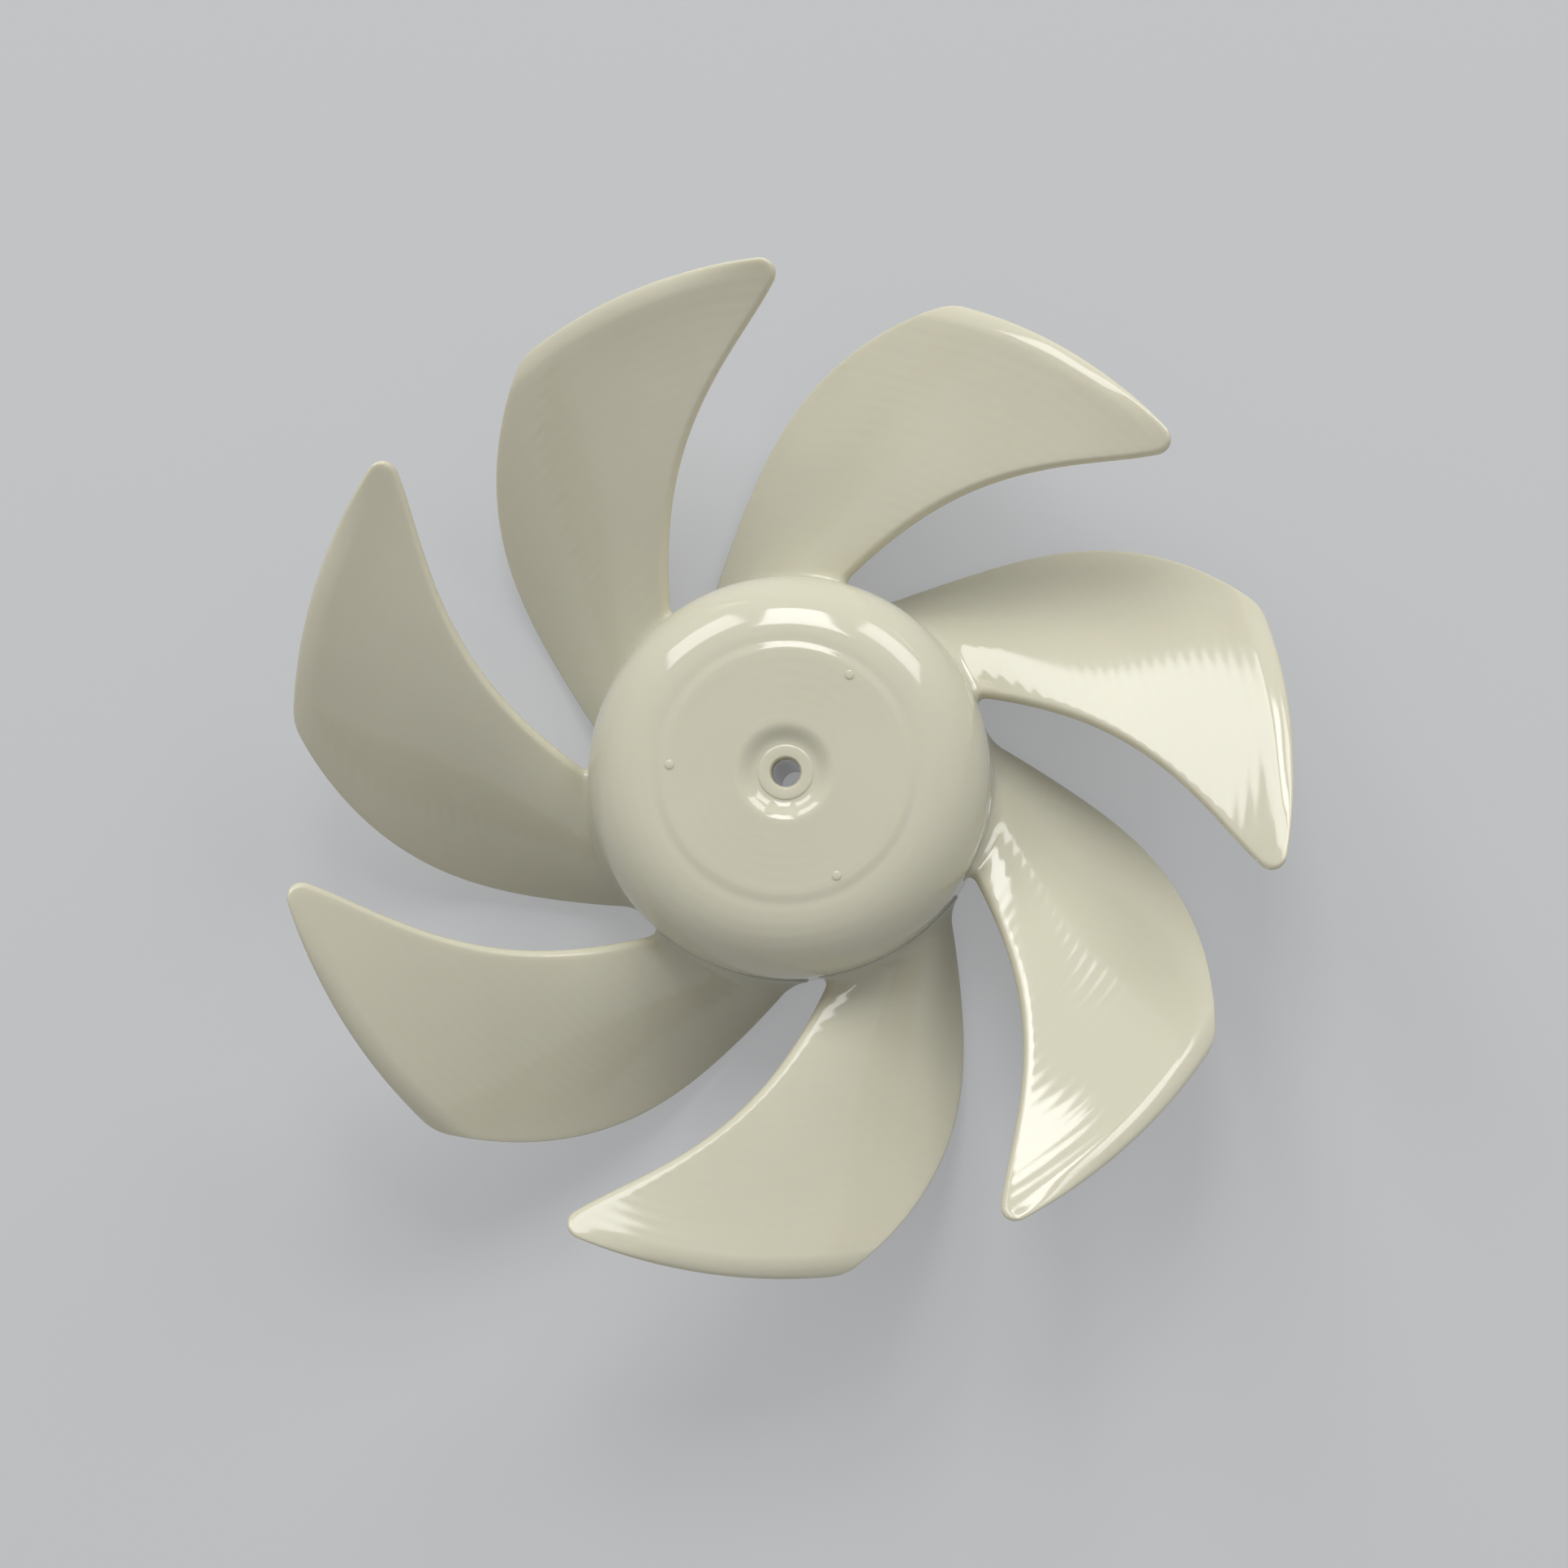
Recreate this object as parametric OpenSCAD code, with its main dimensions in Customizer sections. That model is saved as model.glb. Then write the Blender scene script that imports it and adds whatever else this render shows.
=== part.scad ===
// Forward-swept axial fan wheel that moves cold air over an evaporator.
// One moulded piece: a domed hub cup with a central boss, and sickle blades growing from its wall.
// Millimetres. The wheel turns about Z, +Z points towards the domed front, and the rear rim
// of the hub lies in the plane Z = 0. Seen from the front it turns clockwise.

/* [Wheel] */
// Diameter over the blade rims.
wheel_dia = 110; // [80:1:160]
// Number of blades.
blade_count = 7; // [3:1:9]
// Angle from +X to the root of the first leading edge.
first_blade_angle = 75.64; // [0:0.01:120]

/* [Hub] */
// Diameter of the hub wall where the shoulder ends.
hub_dia = 44.4; // [30:0.1:60]
// Height of the hub from its rear rim to its front face.
hub_height = 22; // [12:0.1:40]
// Thickness of the hub wall at its rear rim.
hub_wall = 1.9; // [1:0.1:4]
// Thickness of the hub's front.
hub_front = 2.2; // [1:0.1:4]
// Width of the rounded shoulder between the face and the wall.
shoulder_width = 7.6; // [2:0.1:12]
// How much the wall's radius shrinks from the shoulder to the rear rim.
wall_draft = 0.3; // [0:0.05:1]
// Bevel on the outer edge of the rear rim.
rim_bevel = 0.4; // [0.1:0.05:1]
// Height of the low disc that forms the middle of the face.
face_step = 0.25; // [0.1:0.05:1]

/* [Shaft seat] */
// Diameter of the bore that grips the motor shaft.
bore_dia = 3.17; // [2:0.01:8]
// Diameter of the bore's flared front mouth.
mouth_dia = 3.48; // [2.2:0.01:9]
// Outer diameter of the boss at the rear.
boss_dia = 8; // [5:0.1:14]
// Growth of the boss radius from the rear to the front.
boss_draft = 0.25; // [0:0.05:1]
// Diameter of the dish around the bore mouth.
dish_dia = 11; // [6:0.1:20]
// Depth of the dish.
dish_depth = 0.9; // [0.3:0.1:2]
// Diameter of the collar at the bottom of the dish.
collar_dia = 5.8; // [4:0.1:9]
// Height of the collar above the bottom of the dish.
collar_rise = 0.15; // [0.05:0.05:0.5]

/* [Ribs and marks] */
// Number of stiffening ribs inside the cup.
rib_count = 4; // [3:1:8]
// Thickness of a rib.
rib_thick = 1.2; // [0.8:0.1:2.5]
// Distance from the rear rim to the ribs' rear edges.
rib_recess = 6; // [0:0.5:14]
// Diameter of the circle of gate marks on the face.
gate_circle_dia = 25.3; // [16:0.1:27]
// Diameter of one gate mark.
gate_dia = 1; // [0.5:0.1:2]
// Height of one gate mark.
gate_rise = 0.12; // [0.05:0.01:0.4]
// Angle from +X to the first gate mark.
gate_angle = 56.3; // [0:0.1:120]

/* [Leading edge] */
// Forward sweep of the leading edge a quarter of the way to the rim.
lead_sweep_quarter = 11.28; // [5:0.01:20]
// Forward sweep half way to the rim.
lead_sweep_half = 20.96; // [10:0.01:30]
// Forward sweep three quarters of the way to the rim.
lead_sweep_late = 30.78; // [15:0.01:45]
// Forward sweep at the rim.
lead_sweep_rim = 37.5; // [20:0.01:60]
// Height of the leading edge above the rear rim, at the hub.
lead_height_hub = 10.14; // [5:0.01:20]
// Height of the leading edge half way to the rim.
lead_height_half = 20.32; // [10:0.01:30]
// Height of the leading edge at the rim.
lead_height_rim = 31.36; // [15:0.01:45]

/* [Trailing edge] */
// Angle of the trailing edge behind the leading root, at the hub.
trail_lag_hub = 39.36; // [20:0.01:50]
// The same, a quarter of the way to the rim.
trail_lag_quarter = 25.92; // [10:0.01:40]
// The same, half way to the rim.
trail_lag_half = 17.18; // [5:0.01:30]
// The same, three quarters of the way to the rim.
trail_lag_late = 7.76; // [0:0.01:20]
// The same at the rim, where it lies ahead of the leading root.
trail_lag_rim = -5.02; // [-20:0.01:10]
// Height of the trailing edge above the rear rim, at the hub.
trail_height_hub = 3.05; // [1:0.01:10]
// Height of the trailing edge half way to the rim.
trail_height_half = 2.96; // [1:0.01:15]
// Height of the trailing edge at the rim.
trail_height_rim = 17.53; // [5:0.01:30]

/* [Blade section] */
// Camber height as a share of the blade's width.
camber = 0.06; // [0:0.005:0.15]
// Blade thickness behind the leading edge, at the hub.
lead_thick_hub = 1.9; // [1:0.1:3]
// Blade thickness behind the leading edge, at the rim.
lead_thick_rim = 1.3; // [0.8:0.1:3]
// Blade thickness at the trailing edge.
trail_thick = 1; // [0.6:0.1:2]
// Radius of the fillet between blade and hub.
root_fillet = 1.4; // [0.5:0.1:3]
// Depth of the blade root inside the hub wall.
root_embed = 1.1; // [0.5:0.1:1.5]

/* [Blade rim] */
// Radius of the leading tip.
tip_radius = 1.8; // [1:0.1:4]
// Radius of the rounded trailing corner.
corner_radius = 6; // [2:0.1:12]
// Width of the lip along the rim.
lip_width = 2.6; // [1:0.1:5]
// How far the lip curls back.
lip_drop = 1.3; // [0:0.1:3]
// Rounding of the rim's two edges.
rim_round = 0.4; // [0.1:0.05:0.6]

/* [Hidden] */
$fn = 96;
rim_r = wheel_dia / 2;
hub_r = hub_dia / 2;
face_r = hub_r - shoulder_width;
shoulder_z = hub_height - face_step - shoulder_width;
inner_r = hub_r - wall_draft - hub_wall;
dish_floor = hub_height - dish_depth;
chord_steps = 10;
nose_steps = 3;
span_steps = 11;
tip_steps = 7;
arc_steps = 12;

// Value at x of the curve through evenly spaced values over 0 to 1.
function through(v, x) = let (n = len(v) - 1)
    [for (i = [0:n]) v[i] * product([for (j = [0:n]) if (j != i) (n * x - j) / (i - j)])] * [for (i = [0:n]) 1];
function product(v, i = 0) = i < len(v) ? v[i] * product(v, i + 1) : 1;
function span(r) = (r - hub_r) / (rim_r - hub_r);

// Edge angles and heights at radius r, before the corners are rounded.
function lead_angle(r) = first_blade_angle
    - through([0, lead_sweep_quarter, lead_sweep_half, lead_sweep_late, lead_sweep_rim], span(r));
function trail_angle(r) = first_blade_angle
    + through([trail_lag_hub, trail_lag_quarter, trail_lag_half, trail_lag_late, trail_lag_rim], span(r));
function lead_z(r) = through([lead_height_hub, lead_height_half, lead_height_rim], span(r));
function trail_z(r) = through([trail_height_hub, trail_height_half, trail_height_rim], span(r));

// Arc width of the blade at radius r, and its whole width with the rise.
function arc_width(r) = r * (trail_angle(r) - lead_angle(r)) * PI / 180;
function blade_width(r) = norm([arc_width(r), lead_z(r) - trail_z(r)]);

// Slope of each edge against the radius at the rim, as arc length per unit of radius.
lead_slope = (lead_angle(rim_r - 1) - lead_angle(rim_r)) * PI / 180 * rim_r;
trail_slope = (trail_angle(rim_r - 1) - trail_angle(rim_r)) * PI / 180 * rim_r;

// Cut that a corner of radius q takes from an edge of slope m, at depth d below the rim.
// Positive values move a leading edge back; the trailing edge uses the negative slope.
function corner_cut(d, q, m) = let (w = sqrt(1 + m * m))
    d < q * (1 + m / w) ? q * (w + m) - sqrt(max(0, q * q - (q - d) * (q - d))) - m * d : 0;

// Extra width that the root fillet adds at radius r.
function fillet_gain(r) = let (d = min(max(r - hub_r, 0), root_fillet))
    root_fillet - sqrt(root_fillet * root_fillet - (root_fillet - d) * (root_fillet - d));

// First and last share of the blade's width that is left at radius r.
function first_share(r) = (corner_cut(rim_r - r, tip_radius, lead_slope) - fillet_gain(r)) / arc_width(r);
function last_share(r) = 1 - (corner_cut(rim_r - r, corner_radius, -trail_slope) - fillet_gain(r)) / arc_width(r);

// How far the curled lip sinks at radius r and width share f.
function lip_sink(r, f) = let (u = max(0, 1 - (rim_r - r) / lip_width), w = min(1, max(0, f) * 2.2))
    lip_drop * u * u * w * w * (3 - 2 * w);

// Half thickness at radius r and width share f.
function half_thick(r, f) = let (lead = lead_thick_hub + (lead_thick_rim - lead_thick_hub) * span(r),
                                 edge = min(1, (rim_r - r) / rim_round))
    (lead + (trail_thick - lead) * f) / 2 * (0.45 + 0.55 * sqrt(1 - (1 - edge) * (1 - edge)))
    + fillet_gain(r) * 0.6;

// Position, across and up, of the blade's middle surface.
function mid_point(r, f) = [arc_width(r) * f,
    lead_z(r) + (trail_z(r) - lead_z(r)) * f + 4 * camber * blade_width(r) * f * (1 - f) - lip_sink(r, f)];

// Point of the section at radius r: share f, roundness n and side of the middle surface.
function skin_point(r, f, n, side) =
    let (p = mid_point(r, f), q = mid_point(r, f + 0.01), t = (q - p) / norm(q - p),
         s = p + side * n * half_thick(r, f) * [-t[1], t[0]], a = lead_angle(r) + s[0] / r * 180 / PI)
    [r * cos(a), r * sin(a), s[1]];

// Shares along the section from edge to edge, each with its roundness.
function nose(r, f) = half_thick(r, f) / blade_width(r);
function profile(r) = let (a = first_share(r), b = last_share(r), na = nose(r, a), nb = nose(r, b)) concat(
    [for (i = [0:nose_steps - 1]) let (t = 90 * i / nose_steps) [a + na * (1 - cos(t)), sin(t)]],
    [for (i = [0:chord_steps]) [a + na + (b - nb - a - na) * i / chord_steps, 1]],
    [for (i = [nose_steps - 1:-1:0]) let (t = 90 * i / nose_steps) [b - nb * (1 - cos(t)), sin(t)]]);

// Closed ring of points around the section: front side out, rear side back.
function ring(r) = let (p = profile(r), n = len(p) - 1) concat(
    [for (i = [0:n]) skin_point(r, p[i][0], p[i][1], 1)],
    [for (i = [n - 1:-1:1]) skin_point(r, p[i][0], p[i][1], -1)]);

// Radii of the sections, closer together at the root fillet and at the rounded rim.
tip_start = rim_r - tip_radius * (1 + lead_slope / sqrt(1 + lead_slope * lead_slope));
root_radii = [hub_r - root_embed, hub_r, hub_r + 0.2 * root_fillet, hub_r + 0.5 * root_fillet, hub_r + root_fillet];
span_radii = [for (i = [1:span_steps]) hub_r + root_fillet + (tip_start - hub_r - root_fillet) * i / span_steps];
tip_radii = [for (i = [1:tip_steps])
    let (low = -atan(lead_slope)) rim_r - tip_radius * (1 - sin(low + (90 - low) * i / tip_steps))];
radii = concat(root_radii, span_radii, tip_radii);

module blade() {
    rings = [for (r = radii) ring(r)];
    m = len(rings[0]);
    half = m / 2;
    last = (len(radii) - 1) * m;
    sides = [for (j = [0:len(radii) - 2]) for (i = [0:m - 1])
        let (a = j * m + i, b = j * m + (i + 1) % m) each [[a, b, b + m], [a, b + m, a + m]]];
    root_cap = [for (i = [0:half - 1]) let (u = i, v = i + 1, y = (m - i - 1) % m, x = (m - i) % m)
        each [if (i > 0) [x, v, u], if (i < half - 1) [x, y, v]]];
    rim_cap = [for (t = root_cap) [last + t[0], last + t[2], last + t[1]]];
    polyhedron(points = [for (q = rings) each q], faces = concat(sides, root_cap, rim_cap), convexity = 4);
}

// Half section of the hub's outside, with the dish, the face disc, the shoulder and the wall.
module hub_outside() {
    dish_r = dish_dia / 2;
    collar_r = collar_dia / 2;
    floor_r = collar_r + collar_rise;
    rotate_extrude()
        polygon(concat(
            [[0, 0], [0, dish_floor], [collar_r, dish_floor], [floor_r, dish_floor - collar_rise]],
            [for (i = [1:6]) let (t = i / 6) [floor_r + (dish_r - floor_r) * t,
                dish_floor - collar_rise + (dish_depth + collar_rise) * (1 - cos(180 * t)) / 2]],
            [[face_r - face_step, hub_height]],
            [for (i = [0:arc_steps]) let (t = 90 * i / arc_steps)
                [face_r + shoulder_width * sin(t), shoulder_z + shoulder_width * cos(t)]],
            [[hub_r - wall_draft, rim_bevel], [hub_r - wall_draft - rim_bevel, 0]]));
}

// Space inside the cup before the boss and the ribs fill part of it.
module cup_space() {
    inner_round = shoulder_width + face_step - hub_front;
    rotate_extrude()
        polygon(concat(
            [[0, -1], [0, hub_height - hub_front]],
            [for (i = [0:arc_steps]) let (t = 90 * i / arc_steps)
                [inner_r - wall_draft - inner_round * (1 - sin(t)), shoulder_z + inner_round * cos(t)]],
            [[inner_r, 0], [inner_r, -1]]));
}

module boss() {
    cylinder(r1 = boss_dia / 2, r2 = boss_dia / 2 + boss_draft, h = hub_height);
}

module ribs() {
    for (i = [0:rib_count - 1])
        rotate([0, 0, 360 * i / rib_count])
            translate([0, -rib_thick / 2, rib_recess])
                cube([hub_r, rib_thick, hub_height]);
}

module gate_marks() {
    for (i = [0:2])
        rotate([0, 0, gate_angle + 120 * i])
            translate([gate_circle_dia / 2, 0, hub_height - hub_front / 2])
                cylinder(d = gate_dia, h = hub_front / 2 + gate_rise);
}

module bore() {
    flare = mouth_dia - bore_dia;
    translate([0, 0, -1])
        cylinder(d = bore_dia, h = hub_height + 2);
    translate([0, 0, dish_floor - flare])
        cylinder(d1 = bore_dia, d2 = mouth_dia, h = flare);
    translate([0, 0, dish_floor])
        cylinder(d = mouth_dia, h = 1);
}

module fan_wheel() {
    color([0.86, 0.84, 0.76])
        difference() {
            union() {
                difference() {
                    hub_outside();
                    difference() {
                        cup_space();
                        boss();
                        ribs();
                    }
                }
                gate_marks();
                for (i = [0:blade_count - 1])
                    rotate([0, 0, -360 * i / blade_count])
                        blade();
            }
            bore();
        }
}

fan_wheel();
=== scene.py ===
"""Looks of a moulded fan wheel: glossy ivory plastic on a pale studio floor.

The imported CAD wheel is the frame. One finer skin of the same form stands for it: the hub cup,
its ribs and gate marks, and seven blades, joined into one closed mesh. Sizes are in millimetres.
"""

import logging
import math
from dataclasses import dataclass, field
from enum import Enum

import bpy
import numpy as np
from mathutils import Matrix, Vector


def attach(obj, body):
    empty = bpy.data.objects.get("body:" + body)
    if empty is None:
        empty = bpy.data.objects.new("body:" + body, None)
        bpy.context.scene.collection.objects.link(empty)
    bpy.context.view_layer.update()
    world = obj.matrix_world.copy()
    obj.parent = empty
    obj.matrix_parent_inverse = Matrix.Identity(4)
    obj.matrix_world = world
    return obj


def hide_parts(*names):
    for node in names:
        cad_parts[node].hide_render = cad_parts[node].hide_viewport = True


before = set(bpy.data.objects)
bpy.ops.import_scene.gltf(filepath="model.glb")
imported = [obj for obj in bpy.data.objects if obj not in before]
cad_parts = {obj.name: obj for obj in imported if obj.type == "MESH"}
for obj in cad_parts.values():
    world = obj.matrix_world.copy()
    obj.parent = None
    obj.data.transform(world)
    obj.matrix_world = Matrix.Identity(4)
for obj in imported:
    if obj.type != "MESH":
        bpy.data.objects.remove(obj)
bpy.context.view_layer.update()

LOG = logging.getLogger("fan_wheel")
MM = 0.001
BODY = "root"
NODE = "fan_wheel"


def srgb(red: int, green: int, blue: int) -> tuple[float, float, float, float]:
    """Turn an 8-bit screen colour into the linear colour of a shader socket.

    Args:
        red: Red, 0 to 255.
        green: Green, 0 to 255.
        blue: Blue, 0 to 255.

    Returns:
        Linear red, green and blue, with full alpha.
    """
    parts = []
    for level in (red, green, blue):
        share = level / 255
        parts.append(share / 12.92 if share <= 0.04045 else ((share + 0.055) / 1.055) ** 2.4)
    return (*parts, 1.0)


def towards(azimuth: float, polar: float) -> Vector:
    """Give the unit direction at an azimuth from +X and an angle from +Z, both in degrees.

    Args:
        azimuth: Angle about Z.
        polar: Angle away from +Z.

    Returns:
        The direction.
    """
    a, p = math.radians(azimuth), math.radians(polar)
    return Vector((math.sin(p) * math.cos(a), math.sin(p) * math.sin(a), math.cos(p)))


class Edge(Enum):
    """The two long edges of a blade."""

    LEADING = "leading"
    TRAILING = "trailing"


@dataclass(frozen=True)
class ShellMesh:
    """Points in millimetres and faces of one closed shell."""

    points: np.ndarray
    faces: list[tuple[int, ...]]

    def turned(self, degrees: float) -> "ShellMesh":
        """Give a copy turned about Z.

        Args:
            degrees: Turn, counter-clockwise from above.

        Returns:
            The turned shell.
        """
        a = math.radians(degrees)
        spin = np.array(((math.cos(a), math.sin(a), 0), (-math.sin(a), math.cos(a), 0), (0, 0, 1)))
        return ShellMesh(self.points @ spin, self.faces)

    def to_object(self, name: str) -> bpy.types.Object:
        """Make a Blender object of the shell.

        Args:
            name: Name of the object and its mesh.

        Returns:
            The object, linked to the scene.
        """
        mesh = bpy.data.meshes.new(name)
        mesh.from_pydata((self.points * MM).tolist(), [], self.faces)
        mesh.update()
        made = bpy.data.objects.new(name, mesh)
        bpy.context.scene.collection.objects.link(made)
        return made


def arc(centre: tuple[float, float], radius: float, start: float, end: float, steps: int) -> list[tuple[float, float]]:
    """Give points along an arc in a half section.

    Args:
        centre: Centre, across and up.
        radius: Radius.
        start: First angle in degrees.
        end: Last angle in degrees.
        steps: Number of segments.

    Returns:
        The points, with both ends.
    """
    turns = np.radians(np.linspace(start, end, steps + 1))
    return [(centre[0] + radius * math.cos(t), centre[1] + radius * math.sin(t)) for t in turns]


def revolve(profile: list[tuple[float, float]], segments: int) -> ShellMesh:
    """Revolve a closed half section that doesn't touch the axis.

    Args:
        profile: Points across and up, counter-clockwise.
        segments: Number of steps round the axis.

    Returns:
        The closed shell.
    """
    line = np.array(profile)
    turns = np.linspace(0, 2 * math.pi, segments, endpoint=False)
    points = np.stack(
        [np.outer(np.cos(turns), line[:, 0]), np.outer(np.sin(turns), line[:, 0]), np.tile(line[:, 1], (segments, 1))],
        axis=-1,
    ).reshape(-1, 3)
    count = len(line)
    faces = []
    for i in range(segments):
        a, b = i * count, (i + 1) % segments * count
        for j in range(count):
            k = (j + 1) % count
            faces.append((a + j, b + j, b + k, a + k))
    return ShellMesh(points, faces)


@dataclass
class HubCup:
    """The domed cup with its boss, dish and bore, as one closed half section."""

    height: float = 22.0
    radius: float = 22.2
    wall: float = 1.9
    front: float = 2.2
    shoulder: float = 7.6
    draft: float = 0.3
    step: float = 0.25
    step_run: float = 1.4
    bore_radius: float = 1.585
    mouth_radius: float = 1.74
    boss_radius: float = 4.0
    boss_draft: float = 0.25
    dish_radius: float = 5.5
    dish_depth: float = 0.9
    collar_radius: float = 2.9
    collar_rise: float = 0.15
    rim_round: float = 0.4
    inner_round: float = 0.5
    segments: int = 256

    @property
    def face_radius(self) -> float:
        """Radius at which the shoulder starts."""
        return self.radius - self.shoulder

    @property
    def shoulder_height(self) -> float:
        """Height of the shoulder's centre."""
        return self.height - self.step - self.shoulder

    @property
    def ceiling(self) -> float:
        """Height of the cup's inside."""
        return self.height - self.front

    @property
    def wall_inside(self) -> float:
        """Inner radius of the cup at its rear rim."""
        return self.radius - self.draft - self.wall

    def outside(self) -> list[tuple[float, float]]:
        """Give the half section from the rear rim over the front into the bore's mouth.

        Returns:
            The points, from the rear rim's outer edge.
        """
        rim = self.radius - self.draft
        edge = self.rim_round
        line = arc((rim - edge, edge), edge, -90, 0, 6)
        line += [(rim + self.draft * t, edge + (self.shoulder_height - edge) * t) for t in np.linspace(0.05, 0.98, 24)]
        line += arc((self.face_radius, self.shoulder_height), self.shoulder, 0, 88, 40)
        inner = self.face_radius - self.step_run
        line += [
            (inner + self.step_run * (1 - t), self.height - self.step * (1 - t) ** 2 * (1 + 2 * t))
            for t in np.linspace(0.08, 1, 10)
        ]
        line += [(r, self.height) for r in np.linspace(inner - 0.6, self.dish_radius + 0.5, 10)]
        floor = self.height - self.dish_depth - self.collar_rise
        low = self.collar_radius + self.collar_rise
        for t in np.linspace(1, 0, 15):
            line.append((low + (self.dish_radius - low) * t, floor + (self.height - floor) * (1 - math.cos(math.pi * t)) / 2))
        collar = self.height - self.dish_depth
        line += [
            (self.collar_radius + 0.08, floor + 0.09),
            (self.collar_radius - 0.03, collar - 0.02),
            (self.collar_radius - 0.12, collar),
            (self.collar_radius - 0.5, collar),
            (self.mouth_radius + 0.1, collar),
            (self.mouth_radius + 0.03, collar - 0.02),
            (self.mouth_radius, collar - 0.09),
        ]
        return line

    def inside(self) -> list[tuple[float, float]]:
        """Give the half section from the bore's mouth back to the rear rim.

        Returns:
            The points, down the bore, round the boss and over the cup's inside.
        """
        flare = 2 * (self.mouth_radius - self.bore_radius)
        top = self.height - self.dish_depth - flare
        line = [(self.bore_radius, z) for z in np.linspace(top, 0.15, 9)]
        line += [(self.bore_radius + 0.05, 0.05), (self.bore_radius + 0.15, 0)]
        line += arc((self.boss_radius - 0.2, 0.2), 0.2, -90, 0, 4)
        foot = self.ceiling - self.inner_round
        wide = self.boss_radius + self.boss_draft * foot / self.height
        line += [(self.boss_radius + (wide - self.boss_radius) * t, foot * t) for t in np.linspace(0.1, 1, 12)]
        line += arc((wide + self.inner_round, foot), self.inner_round, 180, 90, 5)[1:]
        round_in = self.shoulder + self.step - self.front
        reach = self.wall_inside - self.draft - round_in
        line += [(r, self.ceiling) for r in np.linspace(wide + 1.5, reach - 0.5, 9)]
        line += arc((reach, self.shoulder_height), round_in, 90, 0, 24)
        low = self.wall_inside
        line += [(low - self.draft * t, self.shoulder_height * t) for t in np.linspace(0.95, 0.06, 16)]
        line += arc((low + 0.2, 0.2), 0.2, 180, 270, 4)
        return line

    def shell(self) -> ShellMesh:
        """Revolve the whole half section into the closed cup."""
        return revolve(self.outside() + self.inside(), self.segments)


@dataclass
class Rib:
    """One stiffening rib: a thin plate that flares where it meets the cup."""

    cup: HubCup
    thick: float = 1.2
    recess: float = 6.0
    flare: float = 0.5
    edge_round: float = 0.3
    embed: float = 0.6
    across: int = 40
    up: int = 30

    def roof(self, r: float) -> float:
        """Height of the cup's inner surface above radius r."""
        round_in = self.cup.shoulder + self.cup.step - self.cup.front
        start = self.cup.wall_inside - self.cup.draft - round_in
        over = min(max(r - start, 0.0), round_in)
        return self.cup.shoulder_height + math.sqrt(round_in**2 - over**2)

    def half_thickness(self, r: float, z: float) -> float:
        """Give the rib's half thickness.

        Args:
            r: Distance from the axis.
            z: Height.

        Returns:
            Half of the plate's thickness, with the flare at the boss, the wall and the front.
        """
        boss = r - self.cup.boss_radius - self.cup.boss_draft * z / self.cup.height
        wall = self.cup.wall_inside - self.cup.draft * min(1.0, z / self.cup.shoulder_height) - r
        gain = 0.0
        for gap in (boss, wall, self.roof(r) - z):
            near = min(max(gap, 0.0), self.flare)
            gain = max(gain, self.flare - math.sqrt(self.flare**2 - (self.flare - near) ** 2))
        edge = min(1.0, max(0.0, (z - self.recess) / self.edge_round))
        return self.thick / 2 - self.edge_round * (1 - math.sqrt(1 - (1 - edge) ** 2)) + gain

    def shell(self) -> ShellMesh:
        """Build the rib along +X.

        Returns:
            The closed plate, its ends inside the boss, the wall and the front.
        """
        start = self.cup.boss_radius - self.embed
        end = self.cup.wall_inside + self.embed
        ease = (1 - np.cos(np.linspace(0, math.pi, self.across + 1))) / 2
        radii = start + (end - start) * ease
        lift = np.concatenate([[0, 0.006, 0.02], np.linspace(0.05, 0.9, self.up - 10), np.linspace(0.92, 1, 9)])
        rows, columns = len(radii), len(lift)
        points = []
        for side in (1, -1):
            for r in radii:
                heights = self.recess + (self.roof(r) + self.embed - self.recess) * lift
                points += [(r, side * self.half_thickness(r, z), z) for z in heights]
        back = rows * columns
        faces = []
        for i in range(rows - 1):
            for j in range(columns - 1):
                a = i * columns + j
                faces.append((a, a + 1, a + columns + 1, a + columns))
                faces.append((back + a, back + a + columns, back + a + columns + 1, back + a + 1))
        for i in range(rows - 1):
            low, high = i * columns, i * columns + columns - 1
            faces.append((low, low + columns, back + low + columns, back + low))
            faces.append((high, back + high, back + high + columns, high + columns))
        last = (rows - 1) * columns
        for j in range(columns - 1):
            faces.append((j, back + j, back + j + 1, j + 1))
            faces.append((last + j, last + j + 1, back + last + j + 1, back + last + j))
        return ShellMesh(np.array(points), faces)


@dataclass
class GateMark:
    """The low round mark that an injection gate leaves on the face."""

    cup: HubCup
    circle_radius: float = 12.65
    radius: float = 0.5
    rise: float = 0.12
    segments: int = 24

    def shell(self) -> ShellMesh:
        """Build one mark along +X.

        Returns:
            The closed disc, its foot inside the face.
        """
        top = self.cup.height + self.rise
        foot = self.cup.height - 0.4
        hole = 0.05
        profile = [(hole, foot), (self.radius, foot), (self.radius, top - 0.06), (self.radius - 0.02, top - 0.02)]
        profile += [(self.radius - 0.06, top), (hole, top)]
        ring = revolve(profile, self.segments)
        count = len(profile)
        caps = [
            tuple(i * count for i in reversed(range(self.segments))),
            tuple(i * count + count - 1 for i in range(self.segments)),
        ]
        kept = [f for f in ring.faces if not all(k % count in (0, count - 1) for k in f)]
        return ShellMesh(ring.points + np.array((self.circle_radius, 0, 0)), kept + caps)


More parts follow.
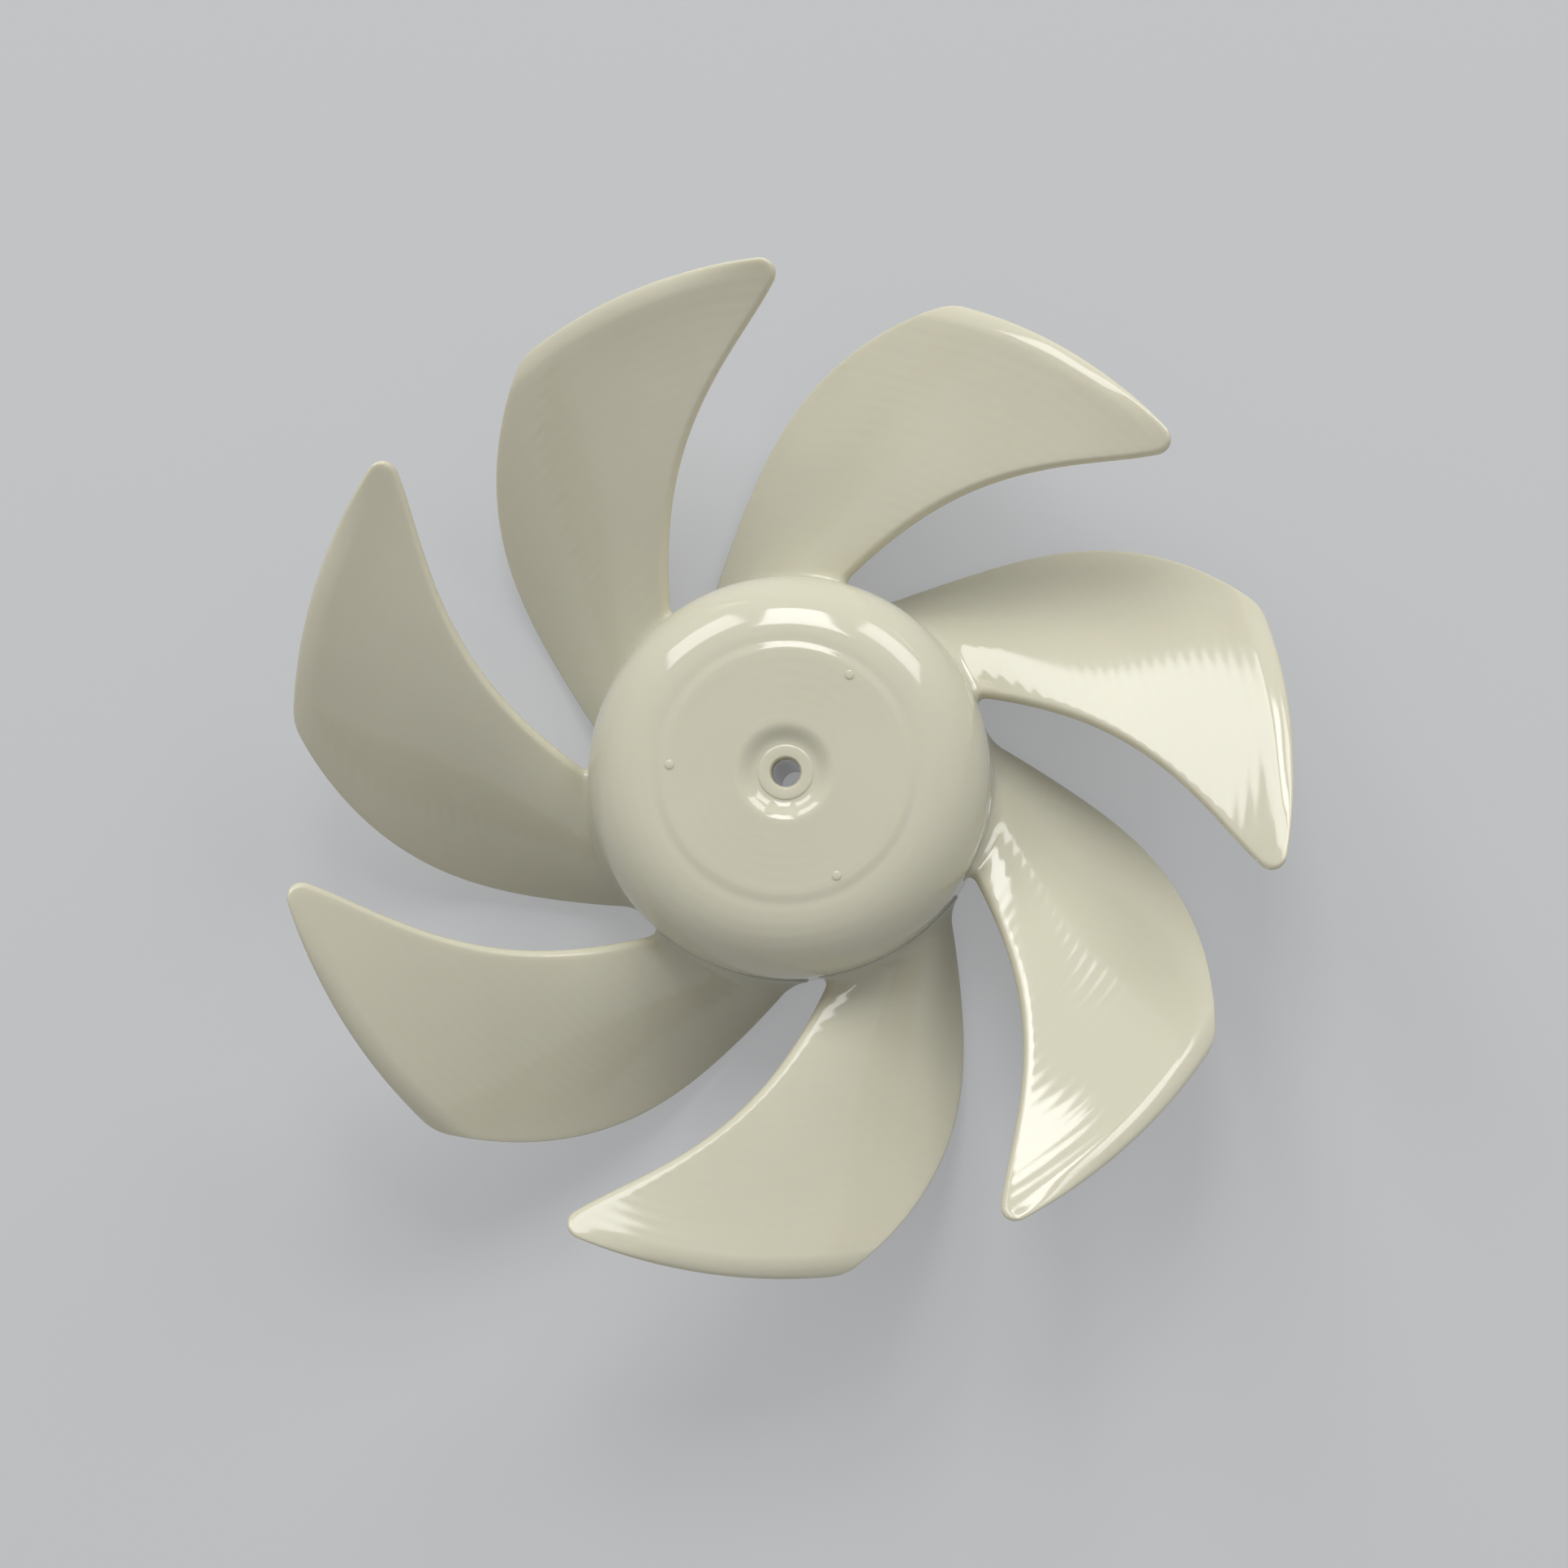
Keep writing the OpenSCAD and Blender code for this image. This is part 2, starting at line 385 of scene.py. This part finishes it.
@dataclass
class Blade:
    """One forward-swept sickle blade, lofted through sections on cylinders about the axis."""

    hub_radius: float = 22.2
    rim_radius: float = 55.0
    root_angle: float = 75.64
    lead_sweep: tuple[float, ...] = (0, 11.28, 20.96, 30.78, 37.5)
    lead_height: tuple[float, ...] = (10.14, 20.32, 31.36)
    trail_lag: tuple[float, ...] = (39.36, 25.92, 17.18, 7.76, -5.02)
    trail_height: tuple[float, ...] = (3.05, 2.96, 17.53)
    camber: float = 0.06
    lead_thick: tuple[float, float] = (1.9, 1.3)
    trail_thick: float = 1.0
    root_fillet: float = 1.4
    root_embed: float = 1.1
    tip_radius: float = 1.8
    corner_radius: float = 6.0
    lip_width: float = 2.6
    lip_drop: float = 1.3
    rim_round: float = 0.4
    chord_steps: int = 40
    nose_steps: int = 6
    fillet_steps: int = 9
    span_steps: int = 40
    tip_steps: int = 14

    @staticmethod
    def through(values: tuple[float, ...], x: float) -> float:
        """Give the value at x of the curve through evenly spaced values over 0 to 1.

        Args:
            values: Values at even steps.
            x: Place, 0 to 1.

        Returns:
            The value there.
        """
        last = len(values) - 1
        total = 0.0
        for i, value in enumerate(values):
            for j in range(last + 1):
                if j != i:
                    value *= (last * x - j) / (i - j)
            total += value
        return total

    def span(self, r: float) -> float:
        """Share of the way from the hub to the rim."""
        return (r - self.hub_radius) / (self.rim_radius - self.hub_radius)

    def angle(self, edge: Edge, r: float) -> float:
        """Give an edge's angle before the corners are rounded.

        Args:
            edge: Which edge.
            r: Radius.

        Returns:
            Angle from +X in degrees.
        """
        if edge is Edge.LEADING:
            return self.root_angle - self.through(self.lead_sweep, self.span(r))
        return self.root_angle + self.through(self.trail_lag, self.span(r))

    def height(self, edge: Edge, r: float) -> float:
        """Give an edge's height.

        Args:
            edge: Which edge.
            r: Radius.

        Returns:
            Height above the hub's rear rim.
        """
        return self.through(self.lead_height if edge is Edge.LEADING else self.trail_height, self.span(r))

    def arc_width(self, r: float) -> float:
        """Width of the blade along the arc at radius r."""
        return r * math.radians(self.angle(Edge.TRAILING, r) - self.angle(Edge.LEADING, r))

    def width(self, r: float) -> float:
        """Width of the blade at radius r with its rise."""
        return math.hypot(self.arc_width(r), self.height(Edge.LEADING, r) - self.height(Edge.TRAILING, r))

    def rim_slope(self, edge: Edge) -> float:
        """Slope of an edge against the radius at the rim, as arc length per unit of radius."""
        rim = self.rim_radius
        return math.radians(self.angle(edge, rim - 1) - self.angle(edge, rim)) * rim

    @staticmethod
    def corner_cut(depth: float, radius: float, slope: float) -> float:
        """Give what a rounded corner takes from an edge.

        Args:
            depth: Depth below the rim.
            radius: Corner radius.
            slope: Slope of the edge.

        Returns:
            The cut along the arc.
        """
        w = math.hypot(1, slope)
        if depth >= radius * (1 + slope / w):
            return 0.0
        return radius * (w + slope) - math.sqrt(max(0.0, radius**2 - (radius - depth) ** 2)) - slope * depth

    def fillet_gain(self, r: float) -> float:
        """Extra width that the root fillet adds at radius r."""
        fillet = self.root_fillet
        depth = min(max(r - self.hub_radius, 0.0), fillet)
        return fillet - math.sqrt(max(0.0, fillet**2 - (fillet - depth) ** 2))

    def first_share(self, r: float) -> float:
        """First share of the width that is left at radius r."""
        cut = self.corner_cut(self.rim_radius - r, self.tip_radius, self.rim_slope(Edge.LEADING))
        return (cut - self.fillet_gain(r)) / self.arc_width(r)

    def last_share(self, r: float) -> float:
        """Last share of the width that is left at radius r."""
        cut = self.corner_cut(self.rim_radius - r, self.corner_radius, -self.rim_slope(Edge.TRAILING))
        return 1 - (cut - self.fillet_gain(r)) / self.arc_width(r)

    def lip_sink(self, r: float, f: float) -> float:
        """How far the curled lip sinks at radius r and width share f."""
        u = max(0.0, 1 - (self.rim_radius - r) / self.lip_width)
        w = min(1.0, max(0.0, f) * 2.2)
        return self.lip_drop * u * u * w * w * (3 - 2 * w)

    def half_thick(self, r: float, f: float) -> float:
        """Half thickness at radius r and width share f."""
        lead = self.lead_thick[0] + (self.lead_thick[1] - self.lead_thick[0]) * self.span(r)
        edge = min(1.0, max(0.0, (self.rim_radius - r) / self.rim_round))
        rounding = 0.45 + 0.55 * math.sqrt(1 - (1 - edge) ** 2)
        return (lead + (self.trail_thick - lead) * f) / 2 * rounding + self.fillet_gain(r) * 0.6

    def middle(self, r: float, f: float) -> np.ndarray:
        """Give the blade's middle surface.

        Args:
            r: Radius.
            f: Share of the width.

        Returns:
            Place across the arc and height.
        """
        lead, trail = self.height(Edge.LEADING, r), self.height(Edge.TRAILING, r)
        bulge = 4 * self.camber * self.width(r) * f * (1 - f)
        return np.array((self.arc_width(r) * f, lead + (trail - lead) * f + bulge - self.lip_sink(r, f)))

    def skin_point(self, r: float, f: float, fullness: float, side: int) -> tuple[float, float, float]:
        """Give a point of the section at radius r.

        Args:
            r: Radius.
            f: Share of the width.
            fullness: Share of the half thickness, 0 at an edge.
            side: 1 for the front, -1 for the rear.

        Returns:
            The point.
        """
        here = self.middle(r, f)
        along = self.middle(r, f + 0.01) - here
        along /= np.linalg.norm(along)
        across = here + side * fullness * self.half_thick(r, f) * np.array((-along[1], along[0]))
        a = math.radians(self.angle(Edge.LEADING, r)) + across[0] / r
        return (r * math.cos(a), r * math.sin(a), float(across[1]))

    def section(self, r: float) -> list[tuple[float, float]]:
        """Give the shares along the section from edge to edge, each with its fullness.

        Args:
            r: Radius.

        Returns:
            Pairs of share and fullness.
        """
        first, last = self.first_share(r), self.last_share(r)
        lead_nose = self.half_thick(r, first) / self.width(r)
        trail_nose = self.half_thick(r, last) / self.width(r)
        turns = [math.pi / 2 * i / self.nose_steps for i in range(self.nose_steps)]
        pairs = [(first + lead_nose * (1 - math.cos(t)), math.sin(t)) for t in turns]
        inner = np.linspace(first + lead_nose, last - trail_nose, self.chord_steps + 1)
        pairs += [(float(f), 1.0) for f in inner]
        pairs += [(last - trail_nose * (1 - math.cos(t)), math.sin(t)) for t in reversed(turns)]
        return pairs

    def radii(self) -> list[float]:
        """Give the radii of the sections.

        Returns:
            Radii from inside the hub wall to the rim, closer at the fillet and the tip.
        """
        slope = self.rim_slope(Edge.LEADING)
        start = self.rim_radius - self.tip_radius * (1 + slope / math.hypot(1, slope))
        foot = self.hub_radius + self.root_fillet
        turns = np.radians(np.linspace(0, 90, self.fillet_steps + 1))
        low = -math.degrees(math.atan(slope))
        made = [self.hub_radius - self.root_embed, self.hub_radius - self.root_embed / 2]
        made += [float(self.hub_radius + self.root_fillet * (1 - math.cos(t))) for t in turns]
        made += [float(r) for r in np.linspace(foot, start, self.span_steps + 1)[1:]]
        tips = np.radians(np.linspace(low, 90, self.tip_steps + 1))[1:]
        made += [float(self.rim_radius - self.tip_radius * (1 - math.sin(t))) for t in tips]
        return made

    def shell(self) -> ShellMesh:
        """Loft the sections into one closed blade.

        Returns:
            The closed shell, its root inside the hub wall.
        """
        rings = []
        for r in self.radii():
            pairs = self.section(r)
            front = [self.skin_point(r, f, full, 1) for f, full in pairs]
            rear = [self.skin_point(r, f, full, -1) for f, full in reversed(pairs[1:-1])]
            rings.append(front + rear)
        count = len(rings[0])
        faces = []
        for j in range(len(rings) - 1):
            for i in range(count):
                a, b = j * count + i, j * count + (i + 1) % count
                faces.append((a, b, b + count, a + count))
        last = (len(rings) - 1) * count
        half = count // 2
        for base, flip in ((0, False), (last, True)):
            for i in range(half):
                u, v = i, i + 1
                x, y = (count - i) % count, (count - i - 1) % count
                cap = [k + base for k in dict.fromkeys((x, y, v, u) if not flip else (u, v, y, x))]
                faces.append(tuple(cap))
        return ShellMesh(np.array([p for ring in rings for p in ring]), faces)


class NodeBuilder:
    """Short calls for placing and joining shader nodes in one tree."""

    def __init__(self, tree: bpy.types.NodeTree) -> None:
        """Keep the tree that the nodes go into."""
        self.tree = tree

    def node(self, kind: str, **settings: object) -> bpy.types.Node:
        """Place one node.

        Args:
            kind: Node type.
            settings: Properties to set on it.

        Returns:
            The node.
        """
        made = self.tree.nodes.new(kind)
        for name, value in settings.items():
            setattr(made, name, value)
        return made

    def join(self, source: bpy.types.NodeSocket, target: bpy.types.NodeSocket) -> None:
        """Link one socket to another."""
        self.tree.links.new(source, target)

    def math(self, operation: str, first: object, second: object = None, third: object = None) -> bpy.types.NodeSocket:
        """Place a Math node.

        Args:
            operation: Its operation.
            first: First input, a socket or a number.
            second: Second input, if it has one.
            third: Third input, if it has one.

        Returns:
            Its output socket.
        """
        made = self.node("ShaderNodeMath", operation=operation)
        for index, value in enumerate((first, second, third)):
            if value is None:
                continue
            if isinstance(value, bpy.types.NodeSocket):
                self.join(value, made.inputs[index])
            else:
                made.inputs[index].default_value = value
        return made.outputs[0]


def group_with(name: str, inputs: dict[str, float], outputs: dict[str, str]) -> tuple[NodeBuilder, object, object]:
    """Start a shader node group with named sockets.

    Args:
        name: Name of the group.
        inputs: Input names with their default values.
        outputs: Output names with their socket types.

    Returns:
        The builder, the group's input node and its output node.
    """
    tree = bpy.data.node_groups.new(name, "ShaderNodeTree")
    for label, value in inputs.items():
        socket = tree.interface.new_socket(label, in_out="INPUT", socket_type="NodeSocketFloat")
        socket.default_value = value
    for label, kind in outputs.items():
        tree.interface.new_socket(label, in_out="OUTPUT", socket_type=kind)
    build = NodeBuilder(tree)
    return build, build.node("NodeGroupInput"), build.node("NodeGroupOutput")


@dataclass(frozen=True)
class MouldSkin:
    """Height of a polished mould's surface: faint cutter rings and slow waves."""

    pitch: float = 1.35

    def build(self) -> bpy.types.NodeTree:
        """Make the group.

        Returns:
            A group whose Height is in metres.
        """
        build, given, out = group_with(
            "mould_skin",
            {"Ring Height": 1.0, "Wave Height": 1.0, "Pitch": self.pitch * MM},
            {"Height": "NodeSocketFloat"},
        )
        place = build.node("ShaderNodeTexCoord").outputs["Object"]
        parts = build.node("ShaderNodeSeparateXYZ")
        build.join(place, parts.inputs[0])
        flat = build.math("ADD", build.math("POWER", parts.outputs[0], 2.0), build.math("POWER", parts.outputs[1], 2.0))
        radius = build.math("SQRT", flat)
        slow = build.node("ShaderNodeTexNoise", noise_dimensions="3D")
        slow.inputs["Scale"].default_value = 45.0
        slow.inputs["Detail"].default_value = 1.0
        build.join(place, slow.inputs["Vector"])
        drift = build.math("MULTIPLY", slow.outputs["Fac"], 2.0)
        turns = build.math("ADD", build.math("DIVIDE", radius, given.outputs["Pitch"]), drift)
        rings = build.math("SINE", build.math("MULTIPLY", turns, 2 * math.pi))
        tall = build.math("MULTIPLY", rings, given.outputs["Ring Height"])
        wave = build.node("ShaderNodeTexNoise", noise_dimensions="3D")
        wave.inputs["Scale"].default_value = 130.0
        wave.inputs["Detail"].default_value = 1.5
        build.join(place, wave.inputs["Vector"])
        broad = build.math("MULTIPLY", wave.outputs["Fac"], given.outputs["Wave Height"])
        build.join(build.math("ADD", tall, broad), out.inputs["Height"])
        return build.tree


@dataclass(frozen=True)
class IvoryPlastic:
    """Glossy, slightly milky ivory plastic."""

    base: tuple[int, int, int] = (207, 204, 183)
    roughness: float = 0.09
    ior: float = 1.53
    scatter: float = 0.35
    scatter_reach: tuple[float, float, float] = (1.0, 0.82, 0.5)
    scatter_scale: float = 1.6
    ring_height: float = 0.004
    wave_height: float = 0.015

    def build(self, skin: bpy.types.NodeTree) -> bpy.types.Material:
        """Make the material.

        Args:
            skin: The mould skin group.

        Returns:
            The finished material.
        """
        made = bpy.data.materials.new("ivory_plastic")
        made.use_nodes = True
        made.node_tree.nodes.clear()
        build = NodeBuilder(made.node_tree)
        out = build.node("ShaderNodeOutputMaterial")
        shader = build.node("ShaderNodeBsdfPrincipled")
        build.join(shader.outputs[0], out.inputs["Surface"])
        shader.inputs["IOR"].default_value = self.ior
        shader.inputs["Subsurface Weight"].default_value = self.scatter
        shader.inputs["Subsurface Radius"].default_value = self.scatter_reach
        shader.inputs["Subsurface Scale"].default_value = self.scatter_scale * MM
        cloud = build.node("ShaderNodeTexNoise", noise_dimensions="3D")
        cloud.inputs["Scale"].default_value = 60.0
        cloud.inputs["Detail"].default_value = 2.0
        build.join(build.node("ShaderNodeTexCoord").outputs["Object"], cloud.inputs["Vector"])
        tone = build.node("ShaderNodeValToRGB")
        tone.color_ramp.elements[0].position = 0.3
        tone.color_ramp.elements[0].color = srgb(*[c - 2 for c in self.base])
        tone.color_ramp.elements[1].position = 0.7
        tone.color_ramp.elements[1].color = srgb(*[c + 1 for c in self.base])
        build.join(cloud.outputs["Fac"], tone.inputs["Fac"])
        build.join(tone.outputs["Color"], shader.inputs["Base Color"])
        gloss = build.math("MULTIPLY_ADD", cloud.outputs["Fac"], 0.04, self.roughness - 0.02)
        build.join(gloss, shader.inputs["Roughness"])
        relief = build.node("ShaderNodeGroup", node_tree=skin)
        relief.inputs["Ring Height"].default_value = self.ring_height * MM
        relief.inputs["Wave Height"].default_value = self.wave_height * MM
        bump = build.node("ShaderNodeBump")
        bump.inputs["Strength"].default_value = 1.0
        bump.inputs["Distance"].default_value = 1.0
        build.join(relief.outputs["Height"], bump.inputs["Height"])
        build.join(bump.outputs["Normal"], shader.inputs["Normal"])
        return made


@dataclass
class FanWheel:
    """The whole moulding: cup, ribs, gate marks and blades joined into one skin."""

    cup: HubCup = field(default_factory=HubCup)
    blade: Blade = field(default_factory=Blade)
    blade_count: int = 7
    rib_count: int = 4
    mark_count: int = 3
    mark_angle: float = 56.3
    smooth_angle: float = 50.0

    def parts(self) -> list[bpy.types.Object]:
        """Make every closed shell of the moulding, the cup first.

        Returns:
            The objects to join.
        """
        rib, mark, blade = Rib(self.cup).shell(), GateMark(self.cup).shell(), self.blade.shell()
        made = [self.cup.shell().to_object("cup")]
        made += [rib.turned(360 * i / self.rib_count).to_object("rib") for i in range(self.rib_count)]
        made += [
            mark.turned(self.mark_angle + 360 * i / self.mark_count).to_object("mark") for i in range(self.mark_count)
        ]
        made += [blade.turned(-360 * i / self.blade_count).to_object("blade") for i in range(self.blade_count)]
        return made

    def build(self, finish: bpy.types.Material) -> bpy.types.Object:
        """Join the shells and dress the result.

        Args:
            finish: Material of the moulding.

        Returns:
            The one visible piece.
        """
        parts = self.parts()
        wheel, others = parts[0], parts[1:]
        for part in others:
            join = wheel.modifiers.new("join", "BOOLEAN")
            join.operation = "UNION"
            join.solver = "MANIFOLD"
            join.object = part
        bpy.context.view_layer.update()
        ready = wheel.evaluated_get(bpy.context.evaluated_depsgraph_get())
        mesh = bpy.data.meshes.new_from_object(ready)
        mesh.name = "moulded_wheel"
        wheel.modifiers.clear()
        wheel.data = mesh
        wheel.name = "moulded_wheel"
        for part in others:
            bpy.data.objects.remove(part, do_unlink=True)
        mesh.materials.clear()
        mesh.materials.append(finish)
        mesh.shade_smooth()
        mesh.set_sharp_from_angle(angle=math.radians(self.smooth_angle))
        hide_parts(NODE)
        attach(wheel, BODY)
        return wheel


@dataclass
class PhotoCamera:
    """Camera that looks at the wheel's front as the photograph does."""

    frame_px: float = 1932
    focal_px: float = 7349
    axis_px: tuple[float, float] = (968.63, 952.22)
    axis_height: float = 20.0
    distance: float = 650.0
    tilt_x: float = -4.343
    tilt_y: float = -3.374
    sensor: float = 36.0

    def build(self) -> bpy.types.Object:
        """Make the camera and use it for the scene.

        Returns:
            The camera.
        """
        turn = Matrix.Rotation(math.radians(self.tilt_x), 3, "X") @ Matrix.Rotation(math.radians(self.tilt_y), 3, "Y")
        right, up, back = turn.row[0].copy(), turn.row[1].copy(), turn.row[2].copy()
        middle = self.frame_px / 2
        look = -back * self.focal_px + right * (middle - self.axis_px[0]) - up * (middle - self.axis_px[1])
        look.normalize()
        side = look.cross(up).normalized()
        top = side.cross(look)
        data = bpy.data.cameras.new("photo_camera")
        data.sensor_width = self.sensor
        data.lens = self.focal_px / self.frame_px * self.sensor
        data.clip_start, data.clip_end = 0.01, 20
        made = bpy.data.objects.new("photo_camera", data)
        rotation = Matrix((side, top, -look)).transposed()
        made.matrix_world = Matrix.Translation((back * self.distance + Vector((0, 0, self.axis_height))) * MM) @ rotation.to_4x4()
        bpy.context.scene.collection.objects.link(made)
        bpy.context.scene.camera = made
        return made


@dataclass(frozen=True)
class SoftPanel:
    """A rectangular studio lamp that faces the wheel."""

    name: str
    azimuth: float
    polar: float
    width: float
    height: float
    power: float
    reach: float = 1500.0
    tint: tuple[int, int, int] = (255, 255, 255)

    def build(self) -> bpy.types.Object:
        """Make the lamp.

        Returns:
            The lamp, aimed at the wheel's middle.
        """
        data = bpy.data.lights.new(self.name, "AREA")
        data.shape = "RECTANGLE"
        data.size, data.size_y = self.width * MM, self.height * MM
        data.energy = self.power
        data.color = srgb(*self.tint)[:3]
        made = bpy.data.objects.new(self.name, data)
        away = towards(self.azimuth, self.polar)
        made.location = away * self.reach * MM + Vector((0, 0, 12 * MM))
        made.rotation_mode = "QUATERNION"
        made.rotation_quaternion = away.to_track_quat("Z", "Y")
        bpy.context.scene.collection.objects.link(made)
        return made


@dataclass
class Studio:
    """Pale floor, pale surroundings and soft lamps."""

    backdrop: tuple[int, int, int] = (196, 197, 199)
    room: tuple[int, int, int] = (176, 176, 178)
    room_level: float = 0.9
    floor_size: float = 6000.0
    floor_drop: float = 0.05
    floor_glow: float = 0.5
    lamps: tuple[SoftPanel, ...] = (
        SoftPanel("lamp_middle", 90.5, 43.5, 420, 800, 8.5),
        SoftPanel("lamp_left", 122.5, 56, 560, 640, 5.5),
        SoftPanel("lamp_right", 55.5, 56, 560, 640, 5.5),
    )

    def shown_to_camera(self, build: NodeBuilder) -> bpy.types.NodeSocket:
        """Mask of the rays that show the background: camera, glossy and transmission.

        Args:
            build: Builder of the tree that needs the mask.

        Returns:
            The mask's socket.
        """
        rays = build.node("ShaderNodeLightPath")
        seen = build.math("MAXIMUM", rays.outputs["Is Camera Ray"], rays.outputs["Is Transmission Ray"])
        return build.math("MAXIMUM", seen, rays.outputs["Is Glossy Ray"])

    def world(self) -> bpy.types.World:
        """Light the scene from all round.

        Returns:
            The world.
        """
        made = bpy.data.worlds.new("studio_room")
        made.use_nodes = True
        made.node_tree.nodes.clear()
        build = NodeBuilder(made.node_tree)
        out = build.node("ShaderNodeOutputWorld")
        room = build.node("ShaderNodeBackground")
        room.inputs["Color"].default_value = srgb(*self.room)
        room.inputs["Strength"].default_value = self.room_level
        shown = build.node("ShaderNodeBackground")
        shown.inputs["Color"].default_value = srgb(*self.backdrop)
        shown.inputs["Strength"].default_value = 1.0
        mix = build.node("ShaderNodeMixShader")
        build.join(self.shown_to_camera(build), mix.inputs[0])
        build.join(room.outputs[0], mix.inputs[1])
        build.join(shown.outputs[0], mix.inputs[2])
        build.join(mix.outputs[0], out.inputs["Surface"])
        bpy.context.scene.world = made
        return made

    def floor(self) -> bpy.types.Object:
        """Lay the pale floor under the wheel.

        Returns:
            The floor.
        """
        half = self.floor_size / 2 * MM
        z = -self.floor_drop * MM
        mesh = bpy.data.meshes.new("studio_floor")
        mesh.from_pydata([(-half, -half, z), (half, -half, z), (half, half, z), (-half, half, z)], [], [(0, 1, 2, 3)])
        made = bpy.data.objects.new("studio_floor", mesh)
        bpy.context.scene.collection.objects.link(made)
        paint = bpy.data.materials.new("floor_paint")
        paint.use_nodes = True
        paint.node_tree.nodes.clear()
        build = NodeBuilder(paint.node_tree)
        out = build.node("ShaderNodeOutputMaterial")
        card = build.node("ShaderNodeBsdfDiffuse")
        card.inputs["Color"].default_value = srgb(*self.backdrop)
        shown = build.node("ShaderNodeEmission")
        shown.inputs["Color"].default_value = srgb(*self.backdrop)
        shown.inputs["Strength"].default_value = 1.0
        mix = build.node("ShaderNodeMixShader")
        build.join(build.math("MULTIPLY", self.shown_to_camera(build), self.floor_glow), mix.inputs[0])
        build.join(card.outputs[0], mix.inputs[1])
        build.join(shown.outputs[0], mix.inputs[2])
        build.join(mix.outputs[0], out.inputs["Surface"])
        mesh.materials.append(paint)
        return made

    def build(self) -> None:
        """Make the world, the floor and the lamps."""
        self.world()
        self.floor()
        for lamp in self.lamps:
            lamp.build()


def main() -> None:
    """Build the camera, the studio and the wheel in order."""
    logging.basicConfig(level=logging.INFO, format="%(name)s: %(message)s")
    scene = bpy.context.scene
    scene.view_settings.view_transform = "Standard"
    PhotoCamera().build()
    Studio().build()
    finish = IvoryPlastic().build(MouldSkin().build())
    wheel = FanWheel().build(finish)
    LOG.info("%s has %d faces", wheel.name, len(wheel.data.polygons))


if __name__ == "__main__":
    main()
